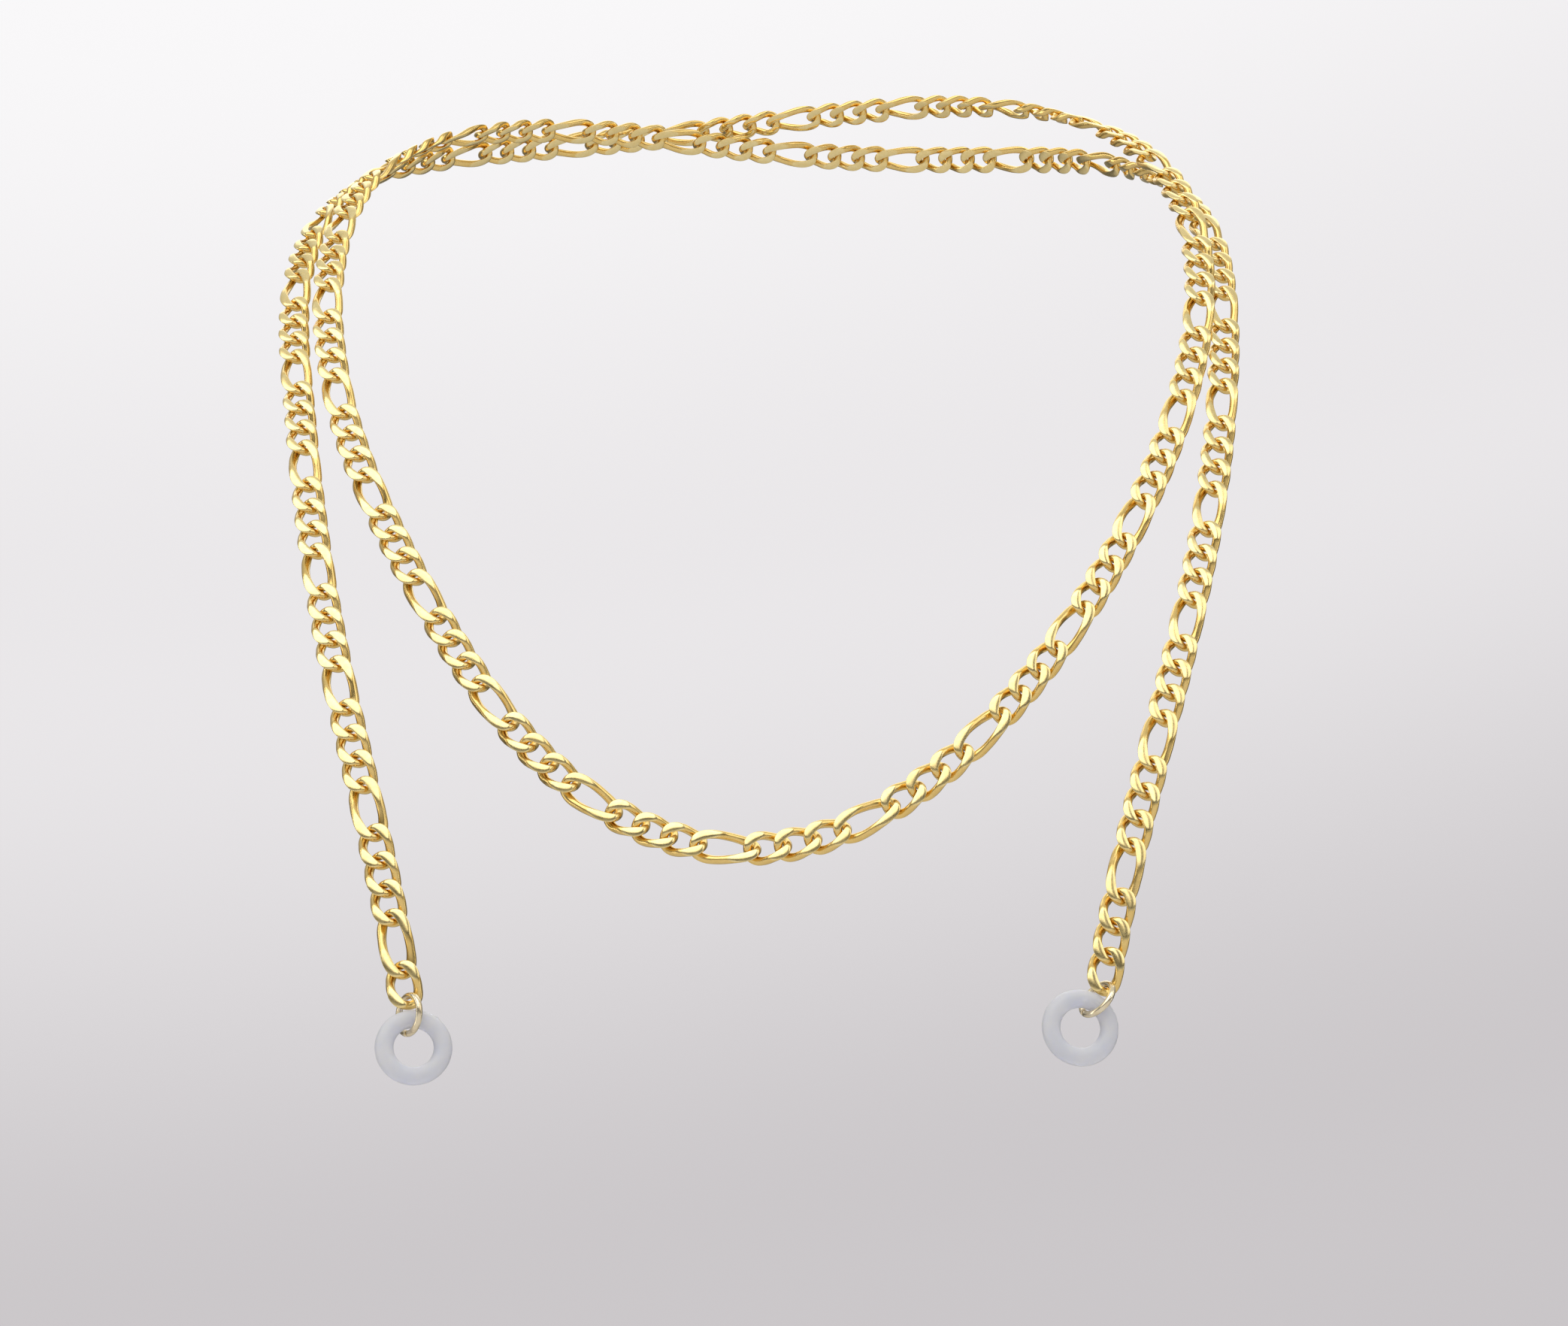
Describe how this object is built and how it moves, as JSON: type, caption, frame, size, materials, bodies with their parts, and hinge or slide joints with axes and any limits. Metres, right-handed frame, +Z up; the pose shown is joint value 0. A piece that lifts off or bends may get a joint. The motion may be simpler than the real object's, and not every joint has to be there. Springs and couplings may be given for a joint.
{
  "type": "eyeglasses chain strap",
  "caption": "Gold Figaro chain strap for glasses, draped once round a neck, with a split jump ring and a clear silicone temple ring at each end.",
  "frame": {"origin": "centre of the neck opening, where the wearer's neck stands inside the two strands", "axes": "+Z up along the hanging tails, -Y forward away from the chest, +X to the right seen from the front"},
  "size_m": [0.1196, 0.0438, 0.1594],
  "materials": {
    "gold_chain": "polished gold plating, faces bright, sides slightly darker",
    "pale_jump_ring": "bright pale gold plated wire",
    "silicone": "milky translucent silicone, satin"
  },
  "bodies": {
    "neck_loop": {"left_collar_outer_1": "gold_chain", "left_collar_outer_2": "gold_chain", "left_collar_outer_3": "gold_chain", "nape_strand_a_1": "gold_chain", "nape_strand_a_2": "gold_chain", "nape_strand_a_3": "gold_chain", "nape_strand_a_4": "gold_chain", "nape_strand_a_5": "gold_chain", "nape_strand_a_6": "gold_chain", "nape_strand_a_7": "gold_chain", "nape_strand_a_8": "gold_chain", "right_collar_inner_1": "gold_chain", "right_collar_inner_2": "gold_chain", "right_collar_inner_3": "gold_chain", "left_collar_inner_1": "gold_chain", "left_collar_inner_2": "gold_chain", "left_collar_inner_3": "gold_chain", "nape_strand_b_1": "gold_chain", "nape_strand_b_2": "gold_chain", "nape_strand_b_3": "gold_chain", "nape_strand_b_4": "gold_chain", "nape_strand_b_5": "gold_chain", "nape_strand_b_6": "gold_chain", "nape_strand_b_7": "gold_chain", "nape_strand_b_8": "gold_chain", "right_collar_outer_1": "gold_chain", "right_collar_outer_2": "gold_chain", "right_collar_outer_3": "gold_chain", "right_collar_outer_4": "gold_chain"},
    "left_tail_5": {"left_tail_links_5": "gold_chain"},
    "left_tail_4": {"left_tail_links_4": "gold_chain"},
    "left_tail_3": {"left_tail_links_3": "gold_chain"},
    "left_tail_2": {"left_tail_links_2": "gold_chain"},
    "left_tail_1": {"left_tail_links_1": "gold_chain"},
    "left_jump": {"left_jump_ring": "pale_jump_ring"},
    "left_temple": {"left_temple_ring": "silicone"},
    "right_tail_5": {"right_tail_links_5": "gold_chain"},
    "right_tail_4": {"right_tail_links_4": "gold_chain"},
    "right_tail_3": {"right_tail_links_3": "gold_chain"},
    "right_tail_2": {"right_tail_links_2": "gold_chain"},
    "right_tail_1": {"right_tail_links_1": "gold_chain"},
    "right_jump": {"right_jump_ring": "pale_jump_ring"},
    "right_temple": {"right_temple_ring": "silicone"},
    "front_upper": {"front_right_links_1": "gold_chain", "front_right_links_2": "gold_chain", "front_left_links_1": "gold_chain", "front_left_links_2": "gold_chain"},
    "front_lower": {"front_centre_links_1": "gold_chain", "front_centre_links_2": "gold_chain", "front_centre_links_3": "gold_chain", "front_centre_links_4": "gold_chain", "front_centre_links_5": "gold_chain", "front_centre_links_6": "gold_chain"}
  },
  "joints": [
    {"name": "left_tail_bend_5", "type": "hinge", "parent": "neck_loop", "child": "left_tail_5", "pos_m": [-0.05489, -0.01856, -0.04677], "axis": [-1, 0, 0], "range_deg": [-20, 20]},
    {"name": "left_tail_bend_4", "type": "hinge", "parent": "left_tail_5", "child": "left_tail_4", "pos_m": [-0.05187, -0.02083, -0.06252], "axis": [-1, 0, 0], "range_deg": [-20, 20]},
    {"name": "left_tail_bend_3", "type": "hinge", "parent": "left_tail_4", "child": "left_tail_3", "pos_m": [-0.04825, -0.02225, -0.07825], "axis": [-1, 0, 0], "range_deg": [-20, 20]},
    {"name": "left_tail_bend_2", "type": "hinge", "parent": "left_tail_3", "child": "left_tail_2", "pos_m": [-0.04399, -0.02306, -0.09385], "axis": [-1, 0, 0], "range_deg": [-20, 20]},
    {"name": "left_tail_bend_1", "type": "hinge", "parent": "left_tail_2", "child": "left_tail_1", "pos_m": [-0.03968, -0.02297, -0.10947], "axis": [-1, 0, 0], "range_deg": [-20, 20]},
    {"name": "left_jump_ring_swing", "type": "hinge", "parent": "left_tail_1", "child": "left_jump", "pos_m": [-0.03653, -0.02201, -0.12239], "axis": [-0.6885, -0.6897, -0.2243], "range_deg": [-20, 45]},
    {"name": "left_temple_ring_swing", "type": "hinge", "parent": "left_jump", "child": "left_temple", "pos_m": [-0.03619, -0.02201, -0.12395], "axis": [-0.9633, -0.1736, -0.2047], "range_deg": [-50, 50]},
    {"name": "right_tail_bend_5", "type": "hinge", "parent": "neck_loop", "child": "right_tail_5", "pos_m": [0.05403, -0.02262, -0.05187], "axis": [-1, 0, 0], "range_deg": [-20, 20]},
    {"name": "right_tail_bend_4", "type": "hinge", "parent": "right_tail_5", "child": "right_tail_4", "pos_m": [0.05071, -0.02409, -0.06766], "axis": [-1, 0, 0], "range_deg": [-20, 20]},
    {"name": "right_tail_bend_3", "type": "hinge", "parent": "right_tail_4", "child": "right_tail_3", "pos_m": [0.04655, -0.02505, -0.08328], "axis": [-1, 0, 0], "range_deg": [-20, 20]},
    {"name": "right_tail_bend_2", "type": "hinge", "parent": "right_tail_3", "child": "right_tail_2", "pos_m": [0.04201, -0.02536, -0.09883], "axis": [-1, 0, 0], "range_deg": [-20, 20]},
    {"name": "right_tail_bend_1", "type": "hinge", "parent": "right_tail_2", "child": "right_tail_1", "pos_m": [0.03784, -0.02465, -0.11446], "axis": [-1, 0, 0], "range_deg": [-20, 20]},
    {"name": "right_jump_ring_swing", "type": "hinge", "parent": "right_tail_1", "child": "right_jump", "pos_m": [0.03622, -0.02396, -0.12158], "axis": [-0.7198, -0.688, 0.0921], "range_deg": [-20, 45]},
    {"name": "right_temple_ring_swing", "type": "hinge", "parent": "right_jump", "child": "right_temple", "pos_m": [0.0354, -0.02396, -0.12295], "axis": [-0.8441, -0.1736, 0.5072], "range_deg": [-50, 50]},
    {"name": "front_drape_swing", "type": "hinge", "parent": "neck_loop", "child": "front_upper", "pos_m": [0.002, -0.02065, -0.04477], "axis": [-0.9923, 0.0416, -0.1164], "range_deg": [-12, 20]},
    {"name": "front_drape_fold", "type": "hinge", "parent": "front_upper", "child": "front_lower", "pos_m": [0.00345, -0.02161, -0.07421], "axis": [-0.9881, 0.0615, -0.1408], "range_deg": [-12, 20]}
  ]
}
